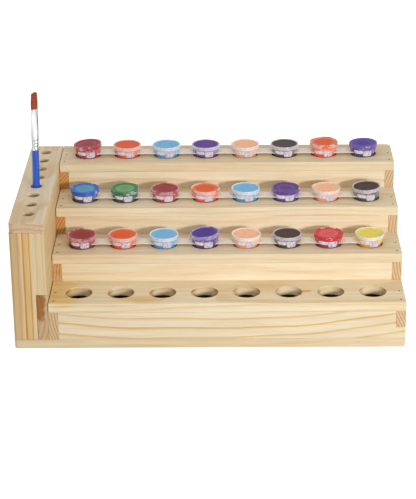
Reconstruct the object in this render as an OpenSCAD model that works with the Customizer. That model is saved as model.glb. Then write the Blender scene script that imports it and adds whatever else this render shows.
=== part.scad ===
// Stepped wooden paint rack with a brush box on its left side.
// Millimetres. X runs to the right, the front faces -Y, Z is up.
// The origin is the centre of the footprint, on the surface that the rack stands on.

/* [Boards] */
// Thickness of every pine board
board_t = 9; // [7:0.5:12]
// Overall width of the rack, brush box included
rack_w = 361; // [355:1:380]
// Plan radius of the base board's corners
base_corner_r = 3; // [1:0.5:6]

/* [Tiers] */
// Depth of one tier, from its front edge to the riser behind it
tier_run = 52; // [48:1:60]
// Height from one tier to the next
tier_rise = 26.5; // [24:0.5:32]
// Height of the front riser, which stands on the base board
front_riser_h = 27; // [20:1:40]
// Diameter of a pot hole
pot_hole_d = 25; // [25:0.5:28]
// Distance between pot holes
pot_pitch = 39; // [38:0.5:40]
// Distance from a shelf's front edge to its hole centres
pot_setback = 25.5; // [20:0.5:26]
// Distance from a shelf's right end to its last hole centre
pot_end_margin = 29; // [20:1:30]
// Gap between a shelf's left end and the brush box
shelf_gap = 0.6; // [0.4:0.1:1]
// Plan radius of the top shelf's back right corner
top_corner_r = 5; // [2:0.5:8]
// Height of the front riser's tongue, which laps the right cheek
tongue_h = 11; // [8:1:14]

/* [Brush box] */
// Outer width of the brush box
box_w = 32; // [30:1:33]
// Diameter of a brush hole
brush_hole_d = 11; // [9:0.5:11]
// Distance between brush holes
brush_pitch = 23.5; // [21:0.5:23.5]
// Distance from the front to the first brush hole
brush_setback = 25; // [20:1:30]
// Plan radius of the brush box's front left corner
box_corner_r = 6; // [2:0.5:8]
// Thickness of the brush box's right wall
right_wall_t = 10; // [9:0.5:11]
// Height of the right wall's tongue, which fills a notch in the front panel
notch_h = 45; // [30:1:60]

/* [Fasteners] */
// Diameter of a brad's head
brad_head_d = 1.8; // [1.4:0.1:2.4]
// Diameter of a brad's shank
brad_d = 1.2; // [1:0.1:1.6]
// Length of a brad
brad_l = 22; // [18:1:25]

/* [Paint pots] */
// Height of a cup's rim above its shelf
cup_rim_h = 9.5; // [8:0.1:11]
// Depth of a cup below the top of its shelf
cup_depth = 9.5; // [8:0.5:14]
// Outer diameter of a cup at its bottom
cup_foot_d = 21.6; // [18:0.2:22]
// Outer diameter of a cup at shelf level
cup_waist_d = 24.4; // [23:0.1:24.4]
// Outer diameter of a cup at its rim
cup_rim_d = 26; // [25:0.1:26]
// Thickness of a cup's wall
cup_wall = 1; // [0.8:0.1:1.4]
// Height of the paint above the shelf
paint_h = 4; // [1:0.5:5]
// Diameter of a lid
lid_d = 28; // [27.6:0.1:29]
// Thickness of a lid's top
lid_t = 1.2; // [1:0.1:1.6]
// Height of a lid's skirt below its top
skirt_h = 2.2; // [1.5:0.1:2.6]
// Width of the webs that join the cups
web_w = 16; // [10:1:20]
// Thickness of those webs
web_t = 1.5; // [0.8:0.1:2]
// Height of the webs' underside above the shelf
web_h = 2.5; // [1:0.1:4]

/* [Brush] */
// Angle by which the brush leans to the right in its hole
brush_lean = 1.5; // [0:0.1:1.8]
// Length of the handle
handle_l = 153; // [150:1:160]
// Largest diameter of the handle
handle_d = 7; // [6:0.1:7.5]
// Length of the ferrule
ferrule_l = 39; // [35:1:45]
// Length of the bristles beyond the ferrule
bristle_l = 17; // [12:1:22]

/* [Hidden] */
tiers = 4;
first_pot_tier = 2;
pots_per_tier = 8;
$fn = 64;

brush_holes = 8;
brush_seat = 4;              // brush hole that the brush stands in, counted from the front
rack_d = tiers * tier_run;
left = -rack_w / 2;
front = -rack_d / 2;
right = rack_w / 2;
back = rack_d / 2;
cheek_left = left + box_w;   // outer face of the left cheek
riser_left = cheek_left + board_t;
riser_l = right - board_t - riser_left;
shelf_left = cheek_left + shelf_gap;
shelf_l = right - shelf_left;
box_h = front_riser_h + (tiers - 1) * tier_rise;   // height of the brush box's panels
joint_gap = 0.3;             // dark line round the tongue in its notch, and the tongue's setback
brad_proud = 0.1;            // height of a shelf brad's head above the board's face
brad_sink = 0.3;             // depth of a base brad's head below the board's face
brad_head_t = 0.8;
brad_edge = 7;               // distance from a shelf's front edge to its first brad
brad_mid = 26;               // and to its second
fit_gap = 0.3;               // room between pieces that move past each other
hinge_back = 0.6;            // distance from a lid's edge to its hinge line
lug_w = 8;                   // width of a hinge lug
lug_h = 1.8;
lug_bite = 0.4;              // how far a lid's lug reaches into its rim
paint_slack = 0.05;          // room between the paint and the cup's wall
brush_foot_d = 4;
brush_neck_d = 6.6;          // handle at the ferrule
ferrule_tip_d = 5.4;
crimp_h = 0.35;              // height of the ferrule's crimp rings
crimp_w = 1;
crimp_places = [3, 7];       // their distances from the ferrule's lower end
bristle_t = 2.6;             // thickness of the flat hair
bristle_swell = 0.4;         // how far the hair swells beyond the ferrule on each side
foot_gap = 0.4;              // room under the leaning brush's foot

pine = [0.89, 0.79, 0.62];
pine_pale = [0.93, 0.86, 0.72];
steel = [0.66, 0.66, 0.68];
milky = [0.86, 0.84, 0.87];
handle_blue = [0.17, 0.36, 0.80];
bristle_brown = [0.72, 0.30, 0.12];
lid_colors = [
    [[0.72, 0.26, 0.25], [0.90, 0.38, 0.18], [0.45, 0.72, 0.90], [0.30, 0.20, 0.60],
     [0.93, 0.70, 0.57], [0.30, 0.26, 0.24], [0.80, 0.20, 0.22], [0.95, 0.80, 0.32]],
    [[0.18, 0.40, 0.78], [0.16, 0.50, 0.36], [0.74, 0.30, 0.30], [0.90, 0.42, 0.20],
     [0.42, 0.68, 0.88], [0.36, 0.24, 0.64], [0.93, 0.70, 0.56], [0.34, 0.24, 0.22]],
    [[0.62, 0.22, 0.28], [0.86, 0.40, 0.22], [0.50, 0.70, 0.86], [0.50, 0.38, 0.66],
     [0.93, 0.74, 0.60], [0.38, 0.34, 0.34], [0.86, 0.48, 0.22], [0.28, 0.18, 0.60]]];

// Heights and places that follow from the tier's number, 1 at the front
function shelf_top(k) = board_t + front_riser_h + board_t + (k - 1) * tier_rise;
function tier_y(k) = front + (k - 1) * tier_run;
function pot_x(i) = right - pot_end_margin - (pots_per_tier - i) * pot_pitch;
function pot_y(k) = tier_y(k) + pot_setback;
function cup_d(height) = cup_waist_d + (cup_rim_d - cup_waist_d) * height / cup_rim_h;
function brush_y(i) = front + brush_setback + (i - 1) * brush_pitch;
brush_x = left + box_w / 2;
lid_bottom = cup_rim_h + fit_gap - skirt_h;   // above the shelf
skirt_d = cup_rim_d + 3 * fit_gap;            // inside of a lid's skirt
hinge_y = lid_d / 2 + hinge_back;             // behind the cup's centre

// What is left outside a quarter circle of radius r, in the corner at the origin
module corner_waste(r) {
    difference() {
        translate([-1, -1]) square(r + 1);
        translate([r, r]) circle(r);
    }
}

// A flat board of w by d by t with its low corner at the origin.
// radii are those of its front left, front right, back right and back left corners.
module board(w, d, t, radii = [0, 0, 0, 0]) {
    linear_extrude(t) difference() {
        square([w, d]);
        if (radii[0] > 0) corner_waste(radii[0]);
        if (radii[1] > 0) translate([w, 0]) mirror([1, 0]) corner_waste(radii[1]);
        if (radii[2] > 0) translate([w, d]) rotate(180) corner_waste(radii[2]);
        if (radii[3] > 0) translate([0, d]) mirror([0, 1]) corner_waste(radii[3]);
    }
}

module base_board() {
    color(pine)
        translate([left, front, 0])
            board(rack_w, rack_d, board_t, [base_corner_r, base_corner_r, base_corner_r, base_corner_r]);
}

// Side profile of a cheek: one step for each tier, drawn as depth and height above the base board
module cheek_profile() {
    for (k = [1:tiers])
        translate([(k - 1) * tier_run, 0])
            square([(tiers - k + 1) * tier_run, front_riser_h + (k - 1) * tier_rise]);
}

module cheek(x) {
    translate([x, front, board_t])
        multmatrix([[0, 0, 1, 0], [1, 0, 0, 0], [0, 1, 0, 0]])
            linear_extrude(board_t) cheek_profile();
}

module left_cheek() {
    color(pine) cheek(cheek_left);
}

module right_cheek() {
    color(pine)
        difference() {
            cheek(right - board_t);
            translate([right - board_t - 1, front - 1, board_t - 1])
                cube([board_t + 2, board_t + 1, tongue_h + 1]);
        }
}

module riser(k) {
    color(pine_pale) {
        if (k == 1) {
            translate([riser_left, front, board_t]) cube([riser_l, board_t, front_riser_h]);
            translate([riser_left, front, board_t]) cube([riser_l + board_t, board_t, tongue_h]);
        } else {
            translate([riser_left, tier_y(k), shelf_top(k - 1) - board_t])
                cube([riser_l, board_t, tier_rise]);
        }
    }
}

module shelf(k) {
    color(pine)
        difference() {
            translate([shelf_left, tier_y(k), shelf_top(k) - board_t])
                board(shelf_l, tier_run, board_t, [0, 0, k == tiers ? top_corner_r : 0, 0]);
            for (i = [1:pots_per_tier])
                translate([pot_x(i), pot_y(k), shelf_top(k) - board_t - 1])
                    cylinder(d = pot_hole_d, h = board_t + 2);
        }
}

module back_panel() {
    color(pine_pale)
        translate([riser_left, back - board_t, board_t]) cube([riser_l, board_t, box_h]);
}

module brush_top() {
    color(pine)
        difference() {
            translate([left, front, board_t + box_h])
                board(box_w, rack_d, board_t, [box_corner_r, 0, 0, base_corner_r]);
            for (i = [1:brush_holes])
                translate([brush_x, brush_y(i), board_t + box_h - 1])
                    cylinder(d = brush_hole_d, h = board_t + 2);
        }
}

module brush_front_panel() {
    color(pine_pale)
        difference() {
            translate([left, front, board_t])
                board(box_w, board_t, box_h, [base_corner_r, 0, 0, 0]);
            translate([left + box_w - right_wall_t, front - 1, board_t - 1])
                cube([right_wall_t + 1, board_t + 2, notch_h + 1]);
        }
}

module brush_back_panel() {
    color(pine_pale)
        translate([left, back - board_t, board_t])
            board(box_w, board_t, box_h, [0, 0, 0, base_corner_r]);
}

module brush_left_wall() {
    color(pine)
        translate([left, front + board_t, board_t])
            cube([board_t, rack_d - 2 * board_t, box_h]);
}

// The right wall, with the tongue at its foot whose end shows in the front panel's notch
module brush_right_wall() {
    color(pine)
        translate([left + box_w - right_wall_t, front, board_t]) {
            translate([0, board_t, 0]) cube([right_wall_t, rack_d - 2 * board_t, box_h]);
            translate([joint_gap, joint_gap, 0])
                cube([right_wall_t - joint_gap, board_t, notch_h - joint_gap]);
        }
}

// A brad driven down from the origin, the top of its head at the height given
module brad(head_top) {
    translate([0, 0, head_top - brad_head_t]) cylinder(d = brad_head_d, h = brad_head_t, $fn = 24);
    translate([0, 0, -brad_l]) cylinder(d = brad_d, h = brad_l + head_top - brad_head_t, $fn = 24);
}

module shelf_brads() {
    color(steel)
        for (k = [1:tiers], x = [shelf_left + board_t / 2, right - board_t / 2], y = [brad_edge, brad_mid])
            translate([x, tier_y(k) + y, shelf_top(k)]) brad(brad_proud);
}

// Brads driven up through the base board into the cheeks and the brush box's left wall
module base_brads() {
    color(steel)
        for (x = [left + board_t / 2, cheek_left + board_t / 2, right - board_t / 2], y = [-1, 0, 1])
            translate([x, y * (rack_d / 2 - 3 * board_t), 0]) mirror([0, 0, 1]) brad(-brad_sink);
}

// Wall and floor of a cup, its centre line on the Z axis and Z = 0 at the top of its shelf
module cup_shell() {
    rotate_extrude($fn = 48)
        polygon([
            [0, -cup_depth], [cup_foot_d / 2, -cup_depth], [cup_waist_d / 2, 0],
            [cup_rim_d / 2, cup_rim_h], [cup_rim_d / 2 - cup_wall, cup_rim_h],
            [cup_waist_d / 2 - cup_wall, 0], [cup_foot_d / 2 - cup_wall, cup_wall - cup_depth],
            [0, cup_wall - cup_depth]]);
}

// Lug on the back of a cup's rim, which the film hinge grows from
module cup_lug() {
    translate([-lug_w / 2, cup_rim_d / 2 - cup_wall / 2, lid_bottom - fit_gap - lug_h])
        cube([lug_w, hinge_y - fit_gap - cup_rim_d / 2 + cup_wall / 2, lug_h]);
}

module cups(k) {
    color(milky)
        for (i = [1:pots_per_tier])
            translate([pot_x(i), pot_y(k), shelf_top(k)]) {
                cup_shell();
                cup_lug();
            }
}

// Flat web from one cup to the next, each end shaped to the wall of its cup
module web() {
    inset = cup_waist_d / 2 - cup_wall / 2;
    translate([0, 0, web_h])
        difference() {
            translate([inset, -web_w / 2, 0]) cube([pot_pitch - 2 * inset, web_w, web_t]);
            for (x = [0, pot_pitch])
                translate([x, 0, -1])
                    cylinder(d1 = cup_d(web_h - 1), d2 = cup_d(web_h + web_t + 1), h = web_t + 2, $fn = 48);
        }
}

module webs(k) {
    color(milky)
        for (i = [1:pots_per_tier - 1])
            translate([pot_x(i), pot_y(k), shelf_top(k)]) web();
}

module paint(k) {
    bottom = cup_wall - cup_depth + paint_slack;
    inner = cup_waist_d / 2 - cup_wall - paint_slack;
    foot = cup_foot_d / 2 - cup_wall - paint_slack;
    color([0.5, 0.2, 0.2])
        for (i = [1:pots_per_tier])
            translate([pot_x(i), pot_y(k), shelf_top(k)])
                rotate_extrude($fn = 48)
                    polygon([[0, bottom], [foot, bottom], [inner, 0], [inner, paint_h], [0, paint_h]]);
}

module lid(k, i) {
    color(lid_colors[k - first_pot_tier][i - 1])
        translate([pot_x(i), pot_y(k), shelf_top(k)]) {
            translate([0, 0, lid_bottom + skirt_h]) cylinder(d = lid_d, h = lid_t, $fn = 48);
            difference() {
                translate([0, 0, lid_bottom]) cylinder(d = lid_d, h = skirt_h + lid_t / 2, $fn = 48);
                translate([0, 0, lid_bottom - 1])
                    cylinder(d = skirt_d, h = skirt_h + 1, $fn = 48);
            }
            translate([-lug_w / 2, lid_d / 2 - lug_bite, lid_bottom + fit_gap])
                cube([lug_w, hinge_back + lug_bite, skirt_h]);
        }
}

// Puts a brush piece, drawn upright on the Z axis, into its hole at the angle it leans
module in_brush_hole() {
    top = 2 * board_t + box_h;
    translate([brush_x, brush_y(brush_seat), top])
        rotate([0, brush_lean, 0])
            translate([0, 0, board_t + foot_gap - top])
                children();
}

module brush_handle() {
    color(handle_blue)
        in_brush_hole()
            rotate_extrude($fn = 48)
                polygon([
                    [0, 0], [brush_foot_d / 2 - 0.6, 0], [brush_foot_d / 2, 1],
                    [handle_d / 2 - 0.3, handle_l * 0.45], [handle_d / 2, handle_l * 0.7],
                    [brush_neck_d / 2, handle_l], [0, handle_l]]);
}

module brush_ferrule() {
    color(steel)
        in_brush_hole()
            translate([0, 0, handle_l]) {
                cylinder(d1 = brush_neck_d + 0.2, d2 = ferrule_tip_d, h = ferrule_l, $fn = 48);
                for (z = crimp_places)
                    translate([0, 0, z]) cylinder(d = brush_neck_d + 2 * crimp_h, h = crimp_w, $fn = 48);
            }
}

// Flat hair with an angled tip, wider across the rack than from front to back
module brush_bristles() {
    w = ferrule_tip_d / 2;
    color(bristle_brown)
        in_brush_hole()
            translate([0, bristle_t / 2, handle_l + ferrule_l]) rotate([90, 0, 0])
                linear_extrude(bristle_t)
                    polygon([[-w, 0], [w, 0], [w + bristle_swell, bristle_l * 0.5], [w, bristle_l * 0.8],
                             [0, bristle_l], [-w, bristle_l * 0.95], [-w - bristle_swell, bristle_l * 0.5]]);
}

base_board();
left_cheek();
right_cheek();
back_panel();
for (k = [1:tiers]) riser(k);
for (k = [1:tiers]) shelf(k);
brush_top();
brush_front_panel();
brush_back_panel();
brush_left_wall();
brush_right_wall();
shelf_brads();
base_brads();
for (k = [first_pot_tier:tiers]) cups(k);
for (k = [first_pot_tier:tiers]) webs(k);
for (k = [first_pot_tier:tiers]) paint(k);
for (k = [first_pot_tier:tiers], i = [1:pots_per_tier])
    lid(k, i);
brush_handle();
brush_ferrule();
brush_bristles();
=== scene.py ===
import math
import random

import bmesh
import bpy
from mathutils import Matrix, Vector


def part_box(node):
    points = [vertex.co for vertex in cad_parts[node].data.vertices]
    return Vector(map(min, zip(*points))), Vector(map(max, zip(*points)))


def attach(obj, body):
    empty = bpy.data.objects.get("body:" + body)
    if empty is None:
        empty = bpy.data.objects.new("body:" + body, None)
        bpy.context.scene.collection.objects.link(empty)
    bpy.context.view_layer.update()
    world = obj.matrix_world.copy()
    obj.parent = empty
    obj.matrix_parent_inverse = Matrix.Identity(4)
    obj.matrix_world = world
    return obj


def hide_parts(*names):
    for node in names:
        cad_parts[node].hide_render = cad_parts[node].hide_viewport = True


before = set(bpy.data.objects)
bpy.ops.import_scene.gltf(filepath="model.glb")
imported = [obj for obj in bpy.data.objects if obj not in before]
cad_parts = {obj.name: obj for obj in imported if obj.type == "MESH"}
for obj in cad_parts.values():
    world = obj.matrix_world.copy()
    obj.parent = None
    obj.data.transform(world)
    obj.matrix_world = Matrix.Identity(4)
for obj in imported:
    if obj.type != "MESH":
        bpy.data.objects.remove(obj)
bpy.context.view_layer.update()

MM = 0.001
random.seed(7)


# ---------------------------------------------------------------- node trees

def linear(*rgb):
    """An sRGB colour given as 0..255 numbers, as the linear RGBA that a socket takes."""
    return tuple((c / 255) ** 2.2 for c in rgb) + (1.0,)


class Nodes:
    """Adds nodes to one material.

    A socket's value may be a number, a colour, a vector or another node's output."""

    def __init__(self, name):
        self.material = bpy.data.materials.new(name)
        self.material.use_nodes = True
        self.tree = self.material.node_tree
        self.tree.nodes.clear()

    def add(self, kind, sockets=None, out=0, **settings):
        node = self.tree.nodes.new("ShaderNode" + kind)
        for key, value in settings.items():
            setattr(node, key, value)
        for key, value in (sockets or {}).items():
            if isinstance(value, bpy.types.NodeSocket):
                self.tree.links.new(value, node.inputs[key])
            else:
                node.inputs[key].default_value = value
        return node.outputs[out] if node.outputs else None

    def math(self, operation, a, b=0.0, c=0.0):
        return self.add("Math", {0: a, 1: b, 2: c}, operation=operation)

    def vector(self, operation, a, b=(0.0, 0.0, 0.0), out=0):
        return self.add("VectorMath", {0: a, 1: b}, out, operation=operation)

    def scale(self, a, factor):
        return self.add("VectorMath", {0: a, "Scale": factor}, operation="SCALE")

    def split(self, a):
        node = self.tree.nodes.new("ShaderNodeSeparateXYZ")
        self.tree.links.new(a, node.inputs[0])
        return node.outputs

    def mix(self, factor, a, b, blend="MIX"):
        return self.add("Mix", {0: factor, 6: a, 7: b}, 2, data_type="RGBA", blend_type=blend)

    def noise(self, where, detail=2.0, roughness=0.5, out=0):
        """Noise whose grain is set by the scale of where, so its own scale stays 1."""
        return self.add("TexNoise", {"Vector": where, "Scale": 1.0, "Detail": detail,
                                     "Roughness": roughness}, out)

    def ramp(self, factor, *stops):
        """A ramp from (place, value) stops, where a value is a grey number or a colour."""
        node = self.tree.nodes.new("ShaderNodeValToRGB")
        elements = node.color_ramp.elements
        while len(elements) < len(stops):
            elements.new(0.5)
        for element, (place, value) in zip(elements, stops):
            element.position = place
            element.color = value if isinstance(value, tuple) else (value, value, value, 1.0)
        self.tree.links.new(factor, node.inputs[0])
        return node.outputs[0]

    def range(self, value, low, high, to_low=0.0, to_high=1.0):
        return self.add("MapRange", {0: value, 1: low, 2: high, 3: to_low, 4: to_high})

    def place(self):
        """The surface point in the row frame, in millimetres."""
        return self.scale(self.add("TexCoord", out=3), 1 / MM)

    def surface(self, **sockets):
        """The one shader of the material; names are Principled BSDF sockets with _ for a space."""
        named = {key.replace("_", " "): value for key, value in sockets.items()}
        shader = self.add("BsdfPrincipled", named)
        self.add("OutputMaterial", {"Surface": shader})
        return self.material

    def bump(self, height, distance, strength):
        return self.add("Bump", {"Height": height, "Distance": distance, "Strength": strength})


# ---------------------------------------------------------------- pine

AXES = {"x": (0, 1, 2), "y": (1, 0, 2), "z": (2, 0, 1)}     # grain axis, then the two across it
BOW_AT = 150.0          # how far from a board's mid the pith's bow is given, in mm
WEAK_YEAR = 0.62        # the faintest year's dark ring, beside 1 for the strongest
PITH_YEARS = 40.0       # keeps the count of years above zero on every board
WHITE = (255, 255, 255)


def pine(name, grain, heart, ring, line, late, pale, gold, seed, sweep=(0.0, 0.0), tilt=(0.0, 0.0),
         mid=0.0, wander=1.2, warm=0.35, width=0.3, end_pale=(222, 192, 152), end_dark=(158, 112, 66),
         patches=()):
    """Pine sawn from a log along the grain axis, all in row-frame millimetres.

    heart is the pith's place across the grain, ring the growth of one year, line a point that a
    dark ring passes through, sweep the pith's bow at BOW_AT from mid, tilt its slope, wander how
    far the rings stray, late the strength of the dark rings and width their share of a ring.
    pale and gold are the two woods of a face, end_pale and end_dark those of an end, warm is how
    much gold the broad patches of a face take, and seed shifts the noise. Each of patches is
    (centre, size, tint, amount): an ellipsoid where the face is multiplied by the tint."""
    n = Nodes(name)
    along, across_a, across_b = AXES[grain]
    point = n.place()
    parts = n.split(point)
    w = n.math("SUBTRACT", parts[along], mid)
    bow = n.math("POWER", n.math("DIVIDE", n.math("ABSOLUTE", w), BOW_AT), 2.0)

    # Coordinates for noise: fine across the grain and long along it
    def stretched(across, length, shift):
        size = [across, across, across]
        size[along] = length
        return n.vector("ADD", n.vector("DIVIDE", point, tuple(size)), (shift, shift * 1.7, shift * 0.6))

    drift = n.vector("SUBTRACT", n.noise(stretched(34, 130, seed), detail=1.5, out=1), (0.5, 0.5, 0.5))
    shake = n.vector("SUBTRACT", n.noise(stretched(9, 42, seed + 3), detail=2.0, out=1), (0.5, 0.5, 0.5))
    stray = n.vector("ADD", n.scale(drift, 6.0 * wander), n.scale(shake, 1.1 * wander))
    strays = n.split(stray)

    def offset(part, centre, slope, bend, strayed):
        straight = n.math("SUBTRACT", part, centre)
        tilted = n.math("MULTIPLY_ADD", w, -slope, straight)
        bowed = n.math("MULTIPLY_ADD", bow, -bend, tilted)
        return n.math("ADD", bowed, strayed)

    u = offset(parts[across_a], heart[0], tilt[0], sweep[0], strays[0])
    v = offset(parts[across_b], heart[1], tilt[1], sweep[1], strays[1])
    radius = n.math("SQRT", n.math("ADD", n.math("MULTIPLY", u, u), n.math("MULTIPLY", v, v)))
    start = math.hypot(line[across_a] - heart[0], line[across_b] - heart[1]) / ring
    years = n.math("ADD", n.math("DIVIDE", radius, ring), PITH_YEARS - start % 1.0)
    season = n.math("FRACT", years)
    year = n.math("FLOOR", years)
    dark_year = n.add("TexWhiteNoise", {"W": n.math("ADD", year, seed)}, noise_dimensions="1D")
    latewood = n.ramp(season, (0.0, 0.2), (0.03, 0.0), (1 - 1.9 * width, 0.0), (1 - width, 0.25),
                      (1 - 0.7 * width, 0.85), (1 - 0.35 * width, 1.0), (0.97, 0.9), (1.0, 0.2))
    latewood = n.math("MULTIPLY", latewood, n.range(dark_year, 0, 1, WEAK_YEAR, 1.0))

    # How much of the surface is end grain
    facing = n.split(n.add("TexCoord", out=1))[along]
    end = n.add("MapRange", {0: n.math("ABSOLUTE", facing), 1: 0.55, 2: 0.9},
                interpolation_type="SMOOTHSTEP")

    # Fibres, streaks along the grain, broad patches, and the short dark dashes of resin canals
    fibre = n.noise(stretched(0.7, 26, seed + 5), detail=3.0, roughness=0.6)
    streak = n.noise(stretched(4.5, 120, seed + 8), detail=2.0)
    patch = n.noise(stretched(40, 90, seed + 11), detail=2.0)
    dash = n.range(n.noise(stretched(0.55, 7, seed + 14), detail=1.0), 0.68, 0.8)

    between = [p * 0.55 + g * 0.45 for p, g in zip(pale, gold)]
    body = n.mix(n.range(patch, 0.35, 0.7, 0.0, warm), linear(*pale), linear(*between))
    ringed = n.mix(n.math("MULTIPLY", latewood, late), body, linear(*gold))
    streaks = n.ramp(streak, (0.3, linear(243, 239, 232)), (0.7, linear(*WHITE)))
    streaked = n.mix(1.0, ringed, streaks, "MULTIPLY")
    fibres = n.ramp(fibre, (0.25, linear(240, 235, 226)), (0.75, linear(*WHITE)))
    fibred = n.mix(1.0, streaked, fibres, "MULTIPLY")
    dashed = n.mix(n.math("MULTIPLY", dash, 0.22), fibred, linear(150, 108, 66))
    end_wood = n.mix(latewood, linear(*end_pale), linear(*end_dark))
    pores = n.noise(n.scale(point, 1.6), detail=3.0, roughness=0.7)
    pored = n.ramp(pores, (0.3, linear(226, 214, 196)), (0.65, linear(*WHITE)))
    end_wood = n.mix(1.0, end_wood, pored, "MULTIPLY")
    colour = n.mix(end, dashed, end_wood)
    for centre, size, tint, amount in patches:
        reach = n.vector("DIVIDE", n.vector("SUBTRACT", point, centre), size)
        ragged = n.math("MULTIPLY_ADD", n.math("SUBTRACT", streak, 0.5), 1.3,
                        n.vector("LENGTH", reach, out=1))
        ragged = n.math("MULTIPLY_ADD", n.math("SUBTRACT", fibre, 0.5), 0.5, ragged)
        tinted = n.mix(1.0, linear(*tint), colour, "MULTIPLY")
        colour = n.mix(n.range(ragged, 1.15, 0.7, 0.0, amount), colour, tinted)
    relief = n.math("MULTIPLY_ADD", latewood, 0.6, n.math("ADD", fibre, n.math("MULTIPLY", dash, -0.8)))
    return n.surface(
        Base_Color=colour,
        Roughness=n.range(n.math("MULTIPLY_ADD", latewood, -0.3, fibre), 0.2, 0.8, 0.5, 0.68),
        Specular_IOR_Level=0.32,
        Normal=n.bump(relief, 0.06 * MM, 0.55),
    )


SANDED_R = 0.45 * MM


def soften(node):
    """Rounds a board's sawn edges slightly, as sanding does."""
    weld = node.modifiers.new("weld", "WELD")
    weld.merge_threshold = 0.001 * MM
    flatten = node.modifiers.new("flatten", "DECIMATE")
    flatten.decimate_type = "DISSOLVE"
    flatten.angle_limit = math.radians(0.6)
    bevel = node.modifiers.new("sanded", "BEVEL")
    bevel.width = SANDED_R
    bevel.segments = 2
    bevel.limit_method = "ANGLE"
    bevel.angle_limit = math.radians(40)
    bevel.use_clamp_overlap = False
    bevel.loop_slide = False
    shade = node.modifiers.new("shade", "WEIGHTED_NORMAL")
    shade.keep_sharp = False


def dress(node_name, material):
    """Gives a CAD node one material and returns the node."""
    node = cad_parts[node_name]
    node.data.materials.clear()
    node.data.materials.append(material)
    return node


# Places of the frame that the boards' grain is laid out from, in millimetres
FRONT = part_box("base_board")[0].y / MM
SHELF_FRONT = [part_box(f"shelf_{k}")[0].y / MM for k in (1, 2, 3, 4)]


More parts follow.
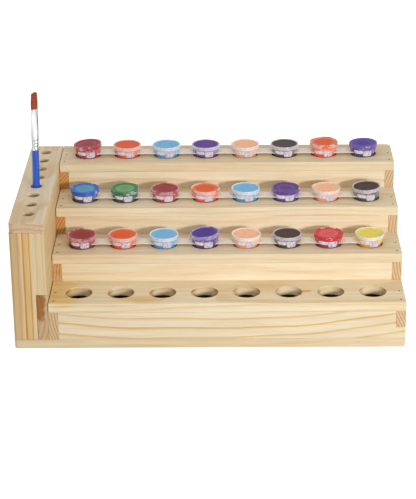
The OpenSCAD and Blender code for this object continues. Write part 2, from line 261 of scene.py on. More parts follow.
def build_boards():
    """Each board's log. A board that shows a stain or a pale streak in the photo has patches, but the patch
    on brush_right_wall is painted shade.
    """
    boards = {
        "base_board": dict(grain="x", heart=(-260, -90), ring=4.2, line=(0, -104, 4), late=0.3, seed=1.0,
                           sweep=(0, 5), pale=(229, 211, 178), gold=(206, 168, 112)),
        "riser_1": dict(grain="x", heart=(FRONT + 100, -60), ring=5.9, line=(0, FRONT, 20.9), late=0.95,
                        sweep=(0, 8.5), mid=-16, wander=0.9, width=0.2, warm=0.15, seed=2.0,
                        pale=(236, 223, 197), gold=(216, 172, 84)),
        "riser_2": dict(grain="x", heart=(120, 10), ring=5.0, line=(0, -52, 60), late=0.25, seed=3.0,
                        pale=(240, 228, 203), gold=(224, 190, 138), sweep=(0, -5)),
        "riser_3": dict(grain="x", heart=(150, 30), ring=5.0, line=(0, 0, 70), late=0.3, seed=4.0,
                        pale=(240, 225, 198), gold=(224, 188, 136), sweep=(0, 4)),
        "riser_4": dict(grain="x", heart=(170, 60), ring=6.0, line=(0, 52, 110), late=0.45, seed=5.0,
                        pale=(238, 224, 196), gold=(218, 174, 112), sweep=(0, -5), width=0.22),
        "shelf_1": dict(grain="x", heart=(FRONT + 30, -70), ring=6.5, line=(0, FRONT + 12, 45), late=0.4,
                        sweep=(4, 0), tilt=(0, 0.03), seed=6.0, wander=2.2, pale=(238, 224, 194),
                        gold=(210, 172, 112), warm=0.35, patches=(
                            ((-136, FRONT + 24, 45), (18, 30, 10), (250, 234, 196), 1.0),
                            ((-62, FRONT + 12, 45), (26, 7, 10), (250, 232, 196), 0.9),
                            ((88, FRONT + 26, 45), (7, 3, 10), (240, 190, 120), 0.8))),
        "shelf_2": dict(grain="x", heart=(SHELF_FRONT[1] + 60, -40), ring=6.0, late=0.38,
                        line=(0, SHELF_FRONT[1] + 8, 71), tilt=(0.02, 0), seed=7.0, wander=1.6,
                        pale=(234, 219, 191), gold=(214, 178, 124)),
        "shelf_3": dict(grain="x", heart=(SHELF_FRONT[2] - 20, -60), ring=5.2, late=0.4,
                        line=(0, SHELF_FRONT[2] + 10, 98), tilt=(-0.02, 0), seed=8.0, wander=1.5,
                        pale=(238, 225, 198), gold=(211, 176, 120)),
        "shelf_4": dict(grain="x", heart=(SHELF_FRONT[3] + 70, 10), ring=6.4, late=0.3,
                        line=(0, SHELF_FRONT[3] + 14, 124), tilt=(0.015, 0), seed=9.0, wander=1.4,
                        pale=(233, 218, 188), gold=(214, 178, 124)),
        "back_panel": dict(grain="x", heart=(200, 40), ring=6.2, line=(0, 104, 60), late=0.7, seed=10.0,
                           wander=2.4, pale=(232, 214, 178), gold=(212, 168, 104), sweep=(0, 6)),
        "left_cheek": dict(grain="y", heart=(-60, 40), ring=2.7, line=(-146.5, -104, 20), late=0.75,
                           seed=11.0, wander=0.5, pale=(226, 200, 156), gold=(196, 146, 84), width=0.3,
                           end_pale=(216, 188, 148), end_dark=(166, 124, 78),
                           patches=(((-144, 0, 96), (12, 110, 58), (250, 216, 164), 1.0),)),
        "right_cheek": dict(grain="y", heart=(268, 72), ring=2.7, line=(176, -104, 28), late=0.75,
                            seed=12.0, wander=0.5, pale=(228, 206, 166), gold=(200, 152, 92), width=0.3,
                            end_pale=(218, 190, 154), end_dark=(166, 122, 78)),
        "brush_top": dict(grain="y", heart=(-164, 30), ring=4.5, line=(-172, 0, 124), late=0.55,
                          tilt=(0.04, 0.03), seed=13.0, wander=1.9, pale=(232, 219, 194),
                          gold=(208, 166, 106), end_pale=(216, 190, 160), end_dark=(192, 158, 124)),
        "brush_front_panel": dict(grain="z", heart=(-120, -104), ring=5.6, line=(-162.6, FRONT, 60),
                                  late=0.5, seed=14.0, wander=0.35, width=0.24, warm=0.15,
                                  pale=(226, 206, 168), gold=(204, 160, 96), patches=(
                                      ((-176, FRONT, 50), (5.0, 30, 120), (238, 224, 204), 0.9),
                                      ((-168.4, FRONT, 50), (0.75, 30, 220), (236, 196, 132), 1.0),
                                      ((-165.4, FRONT, 50), (3.2, 30, 160), (250, 232, 190), 0.9),
                                      ((-162.6, FRONT, 50), (0.75, 30, 220), (236, 196, 132), 1.0))),
        "brush_back_panel": dict(grain="z", heart=(-130, 40), ring=6.0, line=(-166, 104, 60), late=0.6,
                                 seed=15.0, pale=(226, 206, 168), gold=(204, 160, 98)),
        "brush_left_wall": dict(grain="y", heart=(-90, 160), ring=5.5, line=(-180.5, 0, 60), late=0.65,
                                seed=16.0, wander=2.0, pale=(226, 204, 164), gold=(204, 158, 94)),
        "brush_right_wall": dict(grain="y", heart=(-220, 30), ring=4.6, line=(-148.5, 0, 100), late=0.5,
                                 seed=17.0, wander=1.4, pale=(226, 203, 158), gold=(204, 156, 92),
                                 end_pale=(204, 176, 138), end_dark=(176, 142, 102),
                                 # painted shade: a brown patch on the wall's end where it shows in the front
                                 # panel's notch, standing in for the shadow under the notch's top
                                 patches=(((-156, FRONT, 47), (5.5, 4, 20), (206, 158, 96), 1.0),)),
    }
    for node_name, sawn in boards.items():
        soften(dress(node_name, pine("pine_" + node_name, **sawn)))


def build_brads():
    """Dark, grimy steel for both sets of brads."""
    n = Nodes("brad_steel")
    grime = n.noise(n.scale(n.place(), 1.2), detail=2.0)
    steel = n.surface(Base_Color=n.ramp(grime, (0.35, linear(58, 50, 44)), (0.65, linear(104, 98, 92))),
                      Metallic=0.6, Roughness=n.range(grime, 0.3, 0.7, 0.4, 0.6),
                      Normal=n.bump(grime, 0.05 * MM, 0.5))
    dress("shelf_brads", steel)
    dress("base_brads", steel)


# ---------------------------------------------------------------- meshes

def lathe(bm, profile, centre, steps=64, slot=0):
    """Turns (radius, height) points, in millimetres, about the vertical line through centre."""
    rings = []
    for radius, height in profile:
        if radius == 0:
            rings.append([bm.verts.new(centre + Vector((0, 0, height * MM)))])
            continue
        ring = []
        for step in range(steps):
            angle = 2 * math.pi * step / steps
            point = Vector((radius * math.cos(angle), radius * math.sin(angle), height))
            ring.append(bm.verts.new(centre + point * MM))
        rings.append(ring)
    for low, high in zip(rings, rings[1:]):
        for step in range(steps):
            after = (step + 1) % steps
            corners = []
            for ring, index in ((low, step), (low, after), (high, after), (high, step)):
                corner = ring[0] if len(ring) == 1 else ring[index]
                if corner not in corners:
                    corners.append(corner)
            if len(corners) > 2:
                bm.faces.new(corners).material_index = slot


def fillet(*corners, steps):
    """A profile whose corners are rounded: each corner is (radius, height, rounding)."""
    points = []
    for index, (x, y, rounding) in enumerate(corners):
        if rounding == 0 or index in (0, len(corners) - 1):
            points.append((x, y))
            continue
        here = Vector((x, y))
        before = Vector(corners[index - 1][:2])
        after = Vector(corners[index + 1][:2])
        enter = here + (before - here).normalized() * rounding
        leave = here + (after - here).normalized() * rounding
        for step in range(steps + 1):
            t = step / steps
            point = enter * (1 - t) ** 2 + here * 2 * t * (1 - t) + leave * t ** 2
            points.append(tuple(point))
    return points


CREASE = math.radians(38)


def make_piece(name, bm, materials):
    """Turns a bmesh into a smooth-shaded object whose edges over the angle CREASE stay crisp."""
    bmesh.ops.recalc_face_normals(bm, faces=bm.faces)
    for face in bm.faces:
        face.smooth = True
    for edge in bm.edges:
        if len(edge.link_faces) == 2:
            edge.smooth = edge.calc_face_angle(0.0) < CREASE
    mesh = bpy.data.meshes.new(name)
    bm.to_mesh(mesh)
    bm.free()
    for material in materials:
        mesh.materials.append(material)
    piece = bpy.data.objects.new(name, mesh)
    bpy.context.scene.collection.objects.link(piece)
    return piece


# ---------------------------------------------------------------- paint pots

# For each paint: its colour under the clear lid, on the lid's rim, and at the bottom of the cup
PAINTS = {
    "crimson": ((152, 52, 62), (172, 52, 72), (172, 24, 34)),
    "brick": ((146, 46, 50), (186, 80, 92), (130, 10, 12)),
    "red": ((214, 84, 84), (204, 40, 50), (140, 22, 32)),
    "orange": ((228, 88, 34), (230, 160, 142), (236, 60, 4)),
    "sky": ((112, 180, 228), (186, 210, 232), (62, 150, 214)),
    "cobalt": ((76, 152, 192), (36, 94, 210), (12, 14, 46)),
    "green": ((96, 162, 102), (22, 108, 76), (12, 46, 38)),
    "violet": ((86, 54, 140), (178, 162, 206), (66, 30, 132)),
    "indigo": ((66, 42, 146), (108, 84, 172), (42, 24, 92)),
    "peach": ((244, 184, 146), (240, 208, 192), (240, 160, 104)),
    "umber": ((64, 44, 40), (158, 148, 156), (34, 20, 15)),
    "graphite": ((66, 54, 49), (172, 168, 178), (42, 28, 22)),
    "yellow": ((228, 208, 86), (228, 222, 184), (228, 156, 10)),
}
# The pots of each tier from the left: the paint, how much of it has run onto the rim, the lid's tilt
# in degrees (positive where its right side stands up) and how far the lid is off its seat
ROWS = {
    2: (("brick", 0.4, 0, 0), ("orange", 0.1, 0, 0), ("sky", 0.1, 0, 0), ("indigo", 0.3, 5.5, 0),
        ("peach", 0.1, 0, 0), ("umber", 0, 0, 0), ("red", 0.85, 0, 0), ("yellow", 0, 0, 0)),
    3: (("cobalt", 0.9, 1, 0), ("green", 0.8, 1, 0), ("crimson", 0.4, 0, 0), ("orange", 0.4, 0, 0),
        ("sky", 0, 0, 0), ("violet", 1.0, 0, 0), ("peach", 0.2, 0, 0), ("umber", 0, 3, 0.3)),
    4: (("crimson", 0.9, 4.5, 0), ("orange", 0, 0, 0), ("sky", 0, 0, 0), ("violet", 0, 0, 0),
        ("peach", 0, 0, 0), ("graphite", 0, 0, 0), ("orange", 0.5, 1, 1.6), ("indigo", 0.9, 1.5, 0)),
}
# Radii and heights above the shelf, in millimetres
FOOT_R = 12.2           # the cup's wall where it passes the shelf
WALL_R = 12.9           # the same wall at WALL_TOP
WALL_TOP = 8.2
CUP_BOTTOM = -9.5
LID_R = 14.0
LID_TOP = 11.0
SKIRT_BOTTOM = 7.6
PAINT_LEVEL = 4.0
RUN_OVER = 0.8          # a splash from here up also covers the lid's ring and tints its plastic
MILK = (232, 226, 234)
PLASTIC_IOR = 1.42
SAME_POINT = 0.002 * MM


def paler(colour, share):
    """The colour mixed with milky white."""
    return tuple(c * (1 - share) + m * share for c, m in zip(colour, MILK))


def milky(name, tint, alpha):
    """Translucent polypropylene: cloudy, faintly uneven."""
    n = Nodes(name)
    cloud = n.noise(n.scale(n.place(), 0.22), detail=3.0)
    colour = n.ramp(cloud, (0.3, linear(*tint)), (0.7, linear(*paler(tint, 0.3))))
    return n.surface(Base_Color=colour, Roughness=n.range(cloud, 0.3, 0.7, 0.2, 0.36),
                     IOR=PLASTIC_IOR, Alpha=alpha,
                     Normal=n.bump(n.noise(n.scale(n.place(), 0.8), detail=2.0), 0.05 * MM, 0.5))


def rim_plastic(name, tint, paint, splash, centre, seed):
    """The lid's milky rim, with paint dried on part of it."""
    n = Nodes(name)
    point = n.place()
    around = n.vector("SUBTRACT", point, tuple(centre / MM))
    smear = n.noise(n.vector("ADD", n.vector("MULTIPLY", around, (0.1, 0.1, 0.16)), (seed, seed * 2, 0)),
                    detail=3.0, roughness=0.65)
    cloud = n.noise(n.scale(point, 0.25), detail=3.0)
    clean = n.ramp(cloud, (0.3, linear(*paler(tint, 0.2))), (0.7, linear(*paler(tint, 0.6))))
    edge = 0.71 - 0.36 * splash
    mask = n.range(smear, edge - 0.03, edge + 0.03)
    colour = n.mix(mask, clean, linear(*paint)) if splash else clean
    return n.surface(Base_Color=colour, Roughness=n.range(cloud, 0.3, 0.7, 0.2, 0.34),
                     Transmission_Weight=0.15, IOR=PLASTIC_IOR, Coat_Weight=0.3, Coat_Roughness=0.15,
                     Normal=n.bump(smear, 0.1 * MM, 0.4))


def film(name, colour, rim, splash, centre, seed):
    """Paint dried on the underside of a clear lid: streaky, darker towards the rim where it has run."""
    n = Nodes(name)
    around = n.vector("SUBTRACT", n.place(), tuple(centre / MM))
    shifted = n.vector("ADD", around, (seed * 13.0, seed * 7.0, 0.0))
    swirl = n.noise(n.vector("MULTIPLY", shifted, (0.16, 0.34, 0.2)), detail=4.0, roughness=0.62)
    speck = n.noise(n.scale(shifted, 0.9), detail=2.0)
    radius = n.vector("LENGTH", n.vector("MULTIPLY", around, (1, 1, 0)), out=1)
    base = n.ramp(swirl, (0.26, linear(*[c * 0.8 for c in colour])), (0.46, linear(*colour)),
                  (0.62, linear(*colour)), (0.8, linear(*paler(colour, 0.15))))
    base = n.mix(n.range(speck, 0.6, 0.75, 0.0, 0.25), base, linear(*paler(colour, 0.25)))
    wavy = n.math("MULTIPLY_ADD", n.math("SUBTRACT", swirl, 0.5), 5.0, radius)
    ring = n.range(wavy, 8.6, 10.2, 0.0, splash * 0.8)
    if splash >= RUN_OVER:
        halo = n.math("MULTIPLY", n.range(wavy, 5.0, 7.5), n.range(wavy, 9.5, 8.2))
        base = n.mix(n.math("MULTIPLY", halo, 0.25), base, linear(*paler(colour, 0.4)))
    base = n.mix(ring, base, linear(*rim))
    return n.surface(Base_Color=base, Roughness=n.range(swirl, 0.3, 0.7, 0.42, 0.56),
                     Specular_IOR_Level=0.3, Normal=n.bump(swirl, 0.12 * MM, 0.35))


def wet_paint(name, colour, seed):
    """Glossy paint with slow waves in it."""
    n = Nodes(name)
    shifted = n.vector("ADD", n.place(), (seed * 9.0, 0.0, seed * 5.0))
    wave = n.noise(n.scale(shifted, 0.14), detail=2.0)
    base = n.ramp(wave, (0.35, linear(*colour)), (0.7, linear(*[c * 0.92 + 4 for c in colour])))
    return n.surface(Base_Color=base, Roughness=0.22, Specular_IOR_Level=0.5,
                     Normal=n.bump(wave, 0.2 * MM, 0.3))


def painted_reflection_material(name, softened, clean):
    """A painted reflection: white gloss standing in for the lamps' glint on a cup, dimmer in patches."""
    n = Nodes(name)
    fading = n.noise(n.vector("MULTIPLY", n.place(), (0.7, 0.7, 0.4)), detail=3.0, roughness=0.7)
    base = n.ramp(fading, (0.36, linear(*softened)), (0.5, linear(*paler(softened, 0.5))), (0.62, linear(*clean)))
    return n.surface(Base_Color=base, Roughness=0.3, Specular_IOR_Level=0.5,
                     Normal=n.bump(fading, 0.12 * MM, 0.5))


def pot_centre(tier, number):
    """The middle of a pot at its shelf's surface."""
    low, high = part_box(f"lid_{tier}_{number}")
    return Vector(((low.x + high.x) / 2, low.y + LID_R * MM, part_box(f"shelf_{tier}")[1].z))


def seed_of(tier, number):
    """A noise shift of its own for each pot."""
    return tier * 10.0 + number


def cup_wall(name, paint, seed):
    """A cup's wall above the paint: milky plastic, clouded by the paint dried inside it."""
    n = Nodes(name)
    tint = [(rim + deep) / 2 for rim, deep in zip(PAINTS[paint][1], PAINTS[paint][2])]
    point = n.place()
    run = n.noise(n.vector("ADD", n.vector("MULTIPLY", point, (0.55, 0.55, 0.2)), (seed, 0, 0)), detail=3.0)
    base = n.ramp(run, (0.3, linear(*tint)), (0.5, linear(*paler(tint, 0.25))),
                  (0.72, linear(*paler(tint, 0.6))))
    return n.surface(Base_Color=base, Roughness=n.range(run, 0.3, 0.7, 0.2, 0.34), Coat_Weight=0.3,
                     Coat_Roughness=0.12, Alpha=0.93, Normal=n.bump(run, 0.08 * MM, 0.4))


def build_strip(tier, row):
    """One tier's cups with the webs between them, and a painted reflection on each cup's front."""
    outer, inner, waterline = 12.45, 11.52, 3.0
    foot = fillet((0, CUP_BOTTOM, 0), (10.8, CUP_BOTTOM, 0.8), (FOOT_R, 0, 0.3), (outer, waterline, 0),
                  steps=2)
    inside = [(inner, waterline), (11.25, 0), (9.8, CUP_BOTTOM + 1.0), (0, CUP_BOTTOM + 1.0)]
    wall = fillet((outer, waterline, 0), (WALL_R, WALL_TOP, 0.2), (13.1, 9.1, 0.2), (13.0, 9.5, 0.15),
                  (12.1, 9.5, 0.15), (inner, waterline, 0), steps=2)
    centres = [pot_centre(tier, number) for number in range(1, len(row) + 1)]
    materials = [CUP_CLEAR, WEB_PLASTIC]
    bm = bmesh.new()
    for number, (centre, pot) in enumerate(zip(centres, row), 1):
        materials.append(cup_wall(f"cup_wall_{tier}_{number}", pot[0], seed_of(tier, number)))
        lathe(bm, foot, centre)
        lathe(bm, inside, centre)
        lathe(bm, wall, centre, slot=len(materials) - 1)
        block(bm, centre + Vector((-4, 12.5, 5.5)) * MM, centre + Vector((4, 14.3, 7.3)) * MM, slot=1)
    bmesh.ops.remove_doubles(bm, verts=bm.verts, dist=SAME_POINT)
    for a, b in zip(centres, centres[1:]):
        web(bm, a, b, slot=1)
    cups = make_piece(f"cup_row_{tier}", bm, materials)
    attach(cups, f"pot_strip_{tier}")
    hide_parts(f"cups_{tier}", f"webs_{tier}")
    bm = bmesh.new()
    # painted reflection: on each cup's front, two thin white sheets stand in for the lamps' glint, the left
    # one bright and higher, the right one dim and lower
    for centre in centres:
        painted_reflection_half(bm, centre, -46, -5, 3.4, 6.6, slot=0)
        painted_reflection_half(bm, centre, -3, 36, 0.9, 6.6, slot=1)
    painted_reflections = make_piece(f"labels_{tier}", bm, [PAINTED_REFLECTION_BRIGHT, PAINTED_REFLECTION_DIM])
    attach(painted_reflections, f"pot_strip_{tier}")


def wall_r(height):
    """Outer radius of a cup's wall at a height above the shelf."""
    return FOOT_R + (WALL_R - FOOT_R) * height / WALL_TOP


def painted_reflection_half(bm, centre, start, end, bottom, top, slot):
    """Half of a stepped painted reflection, a thin white sheet wrapped on the cup's front with its corners
    softened round.

    Angles are in degrees to the right of the front."""
    thick, steps, lines = 0.18, 14, 5
    front, back = [], []
    for step in range(steps + 1):
        t = step / steps
        degrees = start + (end - start) * t
        corner = max(0.0, abs(2 * t - 1) - 0.6) / 0.4
        ragged = 0.14 * math.sin(step * 2.1 + centre.x * 900)
        softened = 0.9 * corner ** 2 + ragged
        angle = math.radians(degrees)
        for rows, lift in ((front, 0.05 + thick), (back, 0.02)):
            row = []
            for line in range(lines + 1):
                height = bottom + softened + (top - bottom - softened * 1.3) * line / lines
                radius = wall_r(height) + lift
                point = Vector((radius * math.sin(angle), -radius * math.cos(angle), height))
                row.append(bm.verts.new(centre + point * MM))
            rows.append(row)
    for rows in (front, back):
        for row, after in zip(rows, rows[1:]):
            for line in range(lines):
                bm.faces.new([row[line], row[line + 1], after[line + 1], after[line]]).material_index = slot
    for step in range(steps):
        for line in (0, lines):
            ring = [front[step][line], front[step + 1][line], back[step + 1][line], back[step][line]]
            bm.faces.new(ring).material_index = slot
    for step in (0, steps):
        for line in range(lines):
            ring = [front[step][line], front[step][line + 1], back[step][line + 1], back[step][line]]
            bm.faces.new(ring).material_index = slot


def block(bm, low, high, slot):
    """A box between two corners, its edges rounded by a small bevel."""
    made = bmesh.ops.create_cube(bm, size=1.0)
    size = high - low
    for vert in made["verts"]:
        share = vert.co + Vector((0.5, 0.5, 0.5))
        vert.co = low + Vector((size.x * share.x, size.y * share.y, size.z * share.z))
    faces = {face for vert in made["verts"] for face in vert.link_faces}
    for face in faces:
        face.material_index = slot
    edges = list({edge for face in faces for edge in face.edges})
    bmesh.ops.bevel(bm, geom=edges, offset=min(size) * 0.28, segments=2, affect="EDGES", profile=0.5)


def web(bm, a, b, slot):
    """A thin web between two cups: it hugs each cup's wall and is narrower half way."""
    reach, half_end, half_waist = 12.3 * MM, 8.0 * MM, 6.6 * MM
    low_z, high_z, crown = 2.9 * MM, 3.6 * MM, 0.2 * MM
    steps, sides = 12, 8
    rows = []
    for step in range(steps + 1):
        t = step / steps
        half = half_waist + (half_end - half_waist) * (2 * t - 1) ** 2
        row = []
        for side in range(sides + 1):
            across = 2 * side / sides - 1
            y = half * across
            hug = math.sqrt(reach ** 2 - y ** 2)
            x = (a.x + hug) * (1 - t) + (b.x - hug) * t
            top = high_z - crown * across ** 2
            row.append([bm.verts.new((x, a.y + y, a.z + z)) for z in (low_z, top)])
        rows.append(row)
    for row, after in zip(rows, rows[1:]):
        for side in range(sides):
            for layer in (0, 1):
                ring = [row[side][layer], row[side + 1][layer], after[side + 1][layer], after[side][layer]]
                bm.faces.new(ring).material_index = slot
        for side in (0, sides):
            ring = [row[side][0], row[side][1], after[side][1], after[side][0]]
            bm.faces.new(ring).material_index = slot
    for row in (rows[0], rows[-1]):
        for side in range(sides):
            ring = [row[side][0], row[side + 1][0], row[side + 1][1], row[side][1]]
            bm.faces.new(ring).material_index = slot


def build_lid(tier, number, paint, splash, tilt, lift):
    """A shallow dished lid with a rolled rim and, behind, the lug of its film hinge."""
    bm = bmesh.new()
    centre = pot_centre(tier, number)
    rim = fillet((13.25, 8.4, 0), (13.35, SKIRT_BOTTOM, 0.12), (13.9, SKIRT_BOTTOM, 0.2), (LID_R, 8.6, 0.3),
                 (13.75, 8.9, 0.15), (13.8, 9.3, 0.15), (LID_R, 9.7, 0.2), (LID_R, LID_TOP - 0.3, 0.4),
                 (13.5, LID_TOP, 0.3), (12.9, LID_TOP, 0.3), (12.5, LID_TOP - 0.45, 0.2),
                 (12.3, LID_TOP - 0.55, 0), steps=3)
    lathe(bm, rim, centre, steps=72, slot=0)
    dish = [(12.3, LID_TOP - 0.55), (11.6, LID_TOP - 0.72), (9.0, LID_TOP - 0.8), (5.0, LID_TOP - 0.74),
            (0.0, LID_TOP - 0.7)]
    lathe(bm, dish, centre, steps=72, slot=1)
    lathe(bm, [(0, 9.4), (11.0, 9.3)], centre, steps=72, slot=1)
    under = fillet((11.0, 9.3, 0), (11.5, 9.5, 0.2), (11.9, 9.8, 0.15), (13.25, 9.8, 0.15),
                   (13.25, 8.4, 0), steps=2)
    lathe(bm, under, centre, steps=72, slot=0)
    bmesh.ops.remove_doubles(bm, verts=bm.verts, dist=SAME_POINT)
    block(bm, centre + Vector((-4, 13.7, 7.9)) * MM, centre + Vector((4, 14.6, 9.7)) * MM, slot=0)
    side = -1 if tilt > 0 else 1
    pivot = centre + Vector((side * LID_R, 0, SKIRT_BOTTOM)) * MM
    turn = Matrix.Rotation(math.radians(-tilt), 4, "Y")
    lean = Matrix.Translation(pivot) @ turn @ Matrix.Translation(-pivot)
    bm.transform(Matrix.Translation((0, 0, lift * MM)) @ lean)
    colour, rim_tint = PAINTS[paint][:2]
    if paint == "violet" and splash > 0.5:      # one violet lid's rim is covered in the paint itself
        rim_tint = colour
    seed = seed_of(tier, number)
    run = rim_tint if splash >= RUN_OVER else paler(colour, 0.1)
    base_tint = paler(rim_tint, 0.45) if splash >= RUN_OVER else rim_tint
    materials = [rim_plastic(f"lid_rim_{tier}_{number}", base_tint, run, splash, centre, seed),
                 film(f"lid_film_{tier}_{number}", colour, rim_tint, splash, centre, seed)]
    piece = make_piece(f"pot_lid_{tier}_{number}", bm, materials)
    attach(piece, f"lid_{tier}_{number}")
    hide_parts(f"lid_{tier}_{number}")


def build_paint(tier, number, paint):
    """The paint in one cup, its edge curled up where it wets the wall."""
    bm = bmesh.new()
    centre = pot_centre(tier, number)
    bottom = CUP_BOTTOM + 1.05
    lathe(bm, [(0, bottom), (9.75, bottom), (11.2, 0), (11.5, 3.4), (11.56, PAINT_LEVEL), (11.3, 3.75),
               (10.2, 3.5), (6.0, 3.45), (0, 3.45)], centre, steps=48)
    wet = wet_paint(f"wet_{tier}_{number}", PAINTS[paint][2], seed_of(tier, number))
    piece = make_piece(f"paint_{tier}_{number}", bm, [wet])
    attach(piece, f"pot_strip_{tier}")
    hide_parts(f"paint_{tier}")


# ---------------------------------------------------------------- brush

# Lengths along the brush and sizes across it, in millimetres
HANDLE_L = 153.0
FERRULE_L = 39.0
BRISTLE_L = 17.0
FERRULE_W, FERRULE_T = 6.9, 6.8     # the ferrule's round end
FLAT_W, FLAT_T = 7.4, 2.8           # its flat end
FLAT_POWER = 4.4                    # how square the flat end is, where 2 is an ellipse
BRUSH_TURN = 40.0                   # how far the flat is turned, its right edge to the back, in degrees
HAIRS = 420


def brush_frame():
    """Puts a brush whose foot is at the origin and whose length is along Z where the CAD brush leans."""
    handle = [v.co.copy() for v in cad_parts["brush_handle"].data.vertices]
    ferrule = [v.co.copy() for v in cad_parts["brush_ferrule"].data.vertices]
    axis_low = sum(handle, Vector()) / len(handle)
    axis_high = sum(ferrule, Vector()) / len(ferrule)
    slope = (axis_high.x - axis_low.x) / (axis_high.z - axis_low.z)
    lean = math.atan(slope)
    foot_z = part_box("brush_handle")[0].z
    foot = Vector((axis_low.x + (foot_z - axis_low.z) * slope, axis_low.y, foot_z))
    return Matrix.Translation(foot) @ Matrix.Rotation(lean, 4, "Y")


def oval_ring(bm, height, width, thick, steps=48, power=2.0):
    """A ring of points on a rounded rectangle whose corners sharpen as power grows."""
    ring = []
    for step in range(steps):
        angle = 2 * math.pi * step / steps
        c, s = math.cos(angle), math.sin(angle)
        x = math.copysign(abs(c) ** (2 / power), c) * width / 2
        y = math.copysign(abs(s) ** (2 / power), s) * thick / 2
        ring.append(bm.verts.new(Vector((x, y, height)) * MM))
    return ring


def skin(bm, rings):
    """A closed tube through rings of points."""
    for low, high in zip(rings, rings[1:]):
        count = len(low)
        for step in range(count):
            after = (step + 1) % count
            bm.faces.new([low[step], low[after], high[after], high[step]])
    bm.faces.new(list(reversed(rings[0])))
    bm.faces.new(rings[-1])


def brush_piece(name, bm, material, node):
    """Leans a part of the brush into place and lets it stand for its CAD node."""
    bm.transform(brush_frame() @ Matrix.Rotation(math.radians(BRUSH_TURN), 4, "Z"))
    piece = make_piece(name, bm, [material])
    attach(piece, "brush")
    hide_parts(node)


def blue_lacquer():
    """The handle's gloss paint, faintly streaked along its length."""
    n = Nodes("handle_blue")
    point = n.place()
    streak = n.noise(n.vector("MULTIPLY", point, (0.6, 0.6, 0.03)), detail=2.0)
    base = n.ramp(streak, (0.35, linear(26, 72, 176)), (0.65, linear(44, 94, 200)))
    ripple = n.noise(n.scale(point, 0.5), detail=2.0)
    return n.surface(Base_Color=base, Roughness=0.3, Specular_IOR_Level=0.4, Coat_Weight=0.1,
                     Coat_Roughness=0.1, Normal=n.bump(ripple, 0.06 * MM, 0.4))


def plated_metal():
    """The ferrule's bright plating, brushed along its length."""
    n = Nodes("ferrule_bright")
    brushed = n.noise(n.vector("MULTIPLY", n.place(), (0.62, 0.62, 0.035)), detail=3.0)
    base = n.ramp(brushed, (0.34, linear(120, 122, 128)), (0.46, linear(186, 188, 192)),
                  (0.6, linear(222, 223, 226)))
    return n.surface(Base_Color=base, Metallic=0.9, Roughness=n.range(brushed, 0.3, 0.7, 0.22, 0.34),
                     Normal=n.bump(brushed, 0.03 * MM, 0.5))


def brown_hair():
    """Reddish-brown bristles, each a little lighter or darker."""
    n = Nodes("bristle_hair")
    strand = n.noise(n.vector("MULTIPLY", n.place(), (3.0, 3.0, 0.12)), detail=2.0)
    base = n.ramp(strand, (0.3, linear(118, 42, 14)), (0.5, linear(168, 66, 24)),
                  (0.75, linear(196, 92, 40)))
    return n.surface(Base_Color=base, Roughness=0.45, Sheen_Weight=0.2,
                     Normal=n.bump(strand, 0.05 * MM, 0.7))


def build_handle():
    """A slim handle, thickest past its middle, with a rounded foot."""
    profile = [(1.4, 0.0), (1.9, 0.5), (2.1, 1.4), (2.6, 14), (3.1, 45), (3.45, 85), (3.5, 112), (3.42, 136),
               (3.3, 150), (3.22, 152.4), (3.0, HANDLE_L)]
    bm = bmesh.new()
    skin(bm, [oval_ring(bm, height, 2 * radius, 2 * radius) for radius, height in profile])
    brush_piece("painted_handle", bm, blue_lacquer(), "brush_handle")


def build_ferrule():
    """A round tube with three crimps, pressed flat towards the hairs, its mouth turned in."""
    base, tip, crimped, steps = HANDLE_L, HANDLE_L + FERRULE_L, 10.5, 12
    bm = bmesh.new()
    rings = [oval_ring(bm, base - 1.2, 6.9, 6.9), oval_ring(bm, base - 1.0, 7.1, 7.1),
             oval_ring(bm, base, 7.0, 7.0)]
    for crimp in (2.6, 5.4, 8.2):
        for offset, radius in ((-0.7, 3.46), (-0.3, 3.3), (0.0, 3.22), (0.3, 3.3), (0.7, 3.46)):
            rings.append(oval_ring(bm, base + crimp + offset, 2 * radius, 2 * radius))
    for step in range(steps + 1):
        t = step / steps
        ease = t * t * (3 - 2 * t)
        height = base + crimped + (FERRULE_L - crimped) * t
        width = FERRULE_W + (FLAT_W - FERRULE_W) * ease
        thick = FERRULE_T + (FLAT_T - FERRULE_T) * ease
        rings.append(oval_ring(bm, height, width, thick, power=2.0 + (FLAT_POWER - 2.0) * ease))
    rings.append(oval_ring(bm, tip, FLAT_W - 0.5, FLAT_T - 0.5, power=FLAT_POWER))
    rings.append(oval_ring(bm, tip - 2.0, FLAT_W - 0.6, FLAT_T - 0.6, power=FLAT_POWER))
    skin(bm, rings)
    brush_piece("flat_ferrule", bm, plated_metal(), "brush_ferrule")


def build_bristles():
    """A dense core with separate hairs all over it."""
    base, steps = HANDLE_L + FERRULE_L, 8
    bm = bmesh.new()
    core = []
    for step in range(steps + 1):
        t = step / steps
        width = (FLAT_W - 1.1) * (1 + 0.06 * math.sin(math.pi * t))
        thick = (FLAT_T - 0.9) * (1 - 0.55 * t)
        core.append(oval_ring(bm, base - 1.5 + BRISTLE_L * 0.84 * t, width, thick, power=3.4, steps=32))
    skin(bm, core)
    for _ in range(HAIRS):
        hair(bm, base)
    brush_piece("flat_bristles", bm, brown_hair(), "brush_bristles")


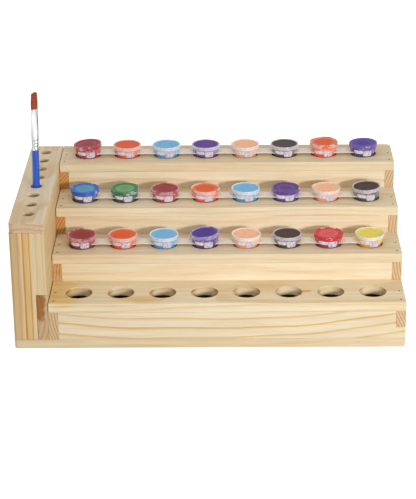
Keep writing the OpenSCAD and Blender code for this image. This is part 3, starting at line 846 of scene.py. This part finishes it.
def hair(bm, base):
    """One bristle: rooted in the ferrule, bowed a little outwards and closing to a fine tip."""
    rooted = 1.2
    across = random.uniform(-1, 1)
    deep = random.uniform(-1, 1)
    root = Vector((across * (FLAT_W / 2 - 0.6), deep * (FLAT_T / 2 - 0.5), base - rooted))
    chisel = 1.0 - 0.09 * max(0.0, -across) - 0.05 * max(0.0, across) - 0.04 * abs(deep)
    length = BRISTLE_L * chisel * random.uniform(0.93, 1.0) + rooted
    sway = Vector((random.uniform(-0.25, 0.25), random.uniform(-0.2, 0.2), 0))
    steps, sides = 5, 4
    rings = []
    for step in range(steps + 1):
        t = step / steps
        swell = 0.22 * math.sin(math.pi * min(t * 1.1, 1.0))
        bow = Vector((across * swell * 1.2, deep * (swell - 0.55 * t * t), length * t))
        centre = root + bow + sway * t * t
        radius = 0.17 * (1 - 0.7 * t ** 2)
        ring = []
        for side in range(sides):
            angle = 2 * math.pi * side / sides
            outward = Vector((math.cos(angle), math.sin(angle), 0))
            ring.append(bm.verts.new((centre + outward * radius) * MM))
        rings.append(ring)
    skin(bm, rings)


# ---------------------------------------------------------------- scene

def build_key_light():
    """A low lamp in front and to the right, which throws the pots' shadows back to the left."""
    place = Vector((0.713, -1.4, 0.46))
    target = Vector((0.06, 0.06, 0.1))
    light = bpy.data.lights.new("key", "AREA")
    light.shape = "DISK"
    light.size = 0.2
    light.energy = 1.6
    light.color = (1.0, 0.995, 0.985)
    light.spread = math.radians(60)
    lamp = bpy.data.objects.new("key", light)
    bpy.context.scene.collection.objects.link(lamp)
    lamp.location = place
    lamp.rotation_euler = (target - place).to_track_quat("-Z", "Y").to_euler()


def build_floor():
    """A plain pale floor, lit a little from within to stay white. It adds no diffuse light to the rack."""
    n = Nodes("floor_white")
    shade = n.noise(n.scale(n.place(), 0.004), detail=2.0)
    white = n.ramp(shade, (0.3, linear(246, 246, 246)), (0.7, linear(250, 250, 250)))
    material = n.surface(Base_Color=white, Roughness=0.8, Emission_Color=(1, 1, 1, 1), Emission_Strength=0.6)
    bm = bmesh.new()
    half = 12.0
    corners = ((-half, -half), (half, -half), (half, half), (-half, half))
    bm.faces.new([bm.verts.new((x, y, 0)) for x, y in corners])
    floor = make_piece("floor", bm, [material])
    floor.visible_diffuse = False


def build_sky():
    """Soft light from every side, weaker from below the horizon."""
    below, above = (-0.25, 0.42), (0.25, 0.75)      # (height of the direction, strength)
    world = bpy.data.worlds.new("studio")
    bpy.context.scene.world = world
    world.use_nodes = True
    tree = world.node_tree
    direction = tree.nodes.new("ShaderNodeTexCoord").outputs["Generated"]
    parts = tree.nodes.new("ShaderNodeSeparateXYZ")
    tree.links.new(direction, parts.inputs[0])
    rise = tree.nodes.new("ShaderNodeMapRange")
    for socket, value in zip(rise.inputs[1:5], (below[0], above[0], below[1], above[1])):
        socket.default_value = value
    tree.links.new(parts.outputs["Z"], rise.inputs[0])
    background = tree.nodes["Background"]
    background.inputs["Color"].default_value = (1.0, 0.98, 0.95, 1)
    tree.links.new(rise.outputs[0], background.inputs["Strength"])


def build_camera():
    """The photographer's place: in front, a little right of the middle, looking down at 23 degrees."""
    place = (0.0221, -1.5273, 0.7073)
    data = bpy.data.cameras.new("camera")
    data.lens = 123.7
    data.sensor_width = 36
    camera = bpy.data.objects.new("camera", data)
    bpy.context.scene.collection.objects.link(camera)
    yaw, pitch, roll = math.radians(0.911), math.radians(-23.146), math.radians(-0.666)
    turn = Matrix.Rotation(yaw, 4, "Z") @ Matrix.Rotation(math.pi / 2 + pitch, 4, "X")
    camera.matrix_world = Matrix.Translation(place) @ turn @ Matrix.Rotation(roll, 4, "Z")
    bpy.context.scene.camera = camera


CUP_CLEAR = milky("cup_clear", (222, 214, 222), 0.05)
WEB_PLASTIC = milky("web_milky", (255, 247, 234), 0.72)
# painted reflection: the white of the sheets on each cup's front stands in for the lamps' glint
PAINTED_REFLECTION_BRIGHT = painted_reflection_material("painted_reflection_bright", (190, 184, 194), (228, 224, 232))
PAINTED_REFLECTION_DIM = painted_reflection_material("painted_reflection_dim", (158, 148, 162), (214, 208, 220))
build_boards()
build_brads()
for tier, row in ROWS.items():
    build_strip(tier, row)
    for number, (paint, splash, tilt, lift) in enumerate(row, 1):
        build_lid(tier, number, paint, splash, tilt, lift)
        build_paint(tier, number, paint)
build_handle()
build_ferrule()
build_bristles()
build_floor()
build_sky()
build_key_light()
build_camera()
bpy.context.scene.view_settings.view_transform = "Standard"
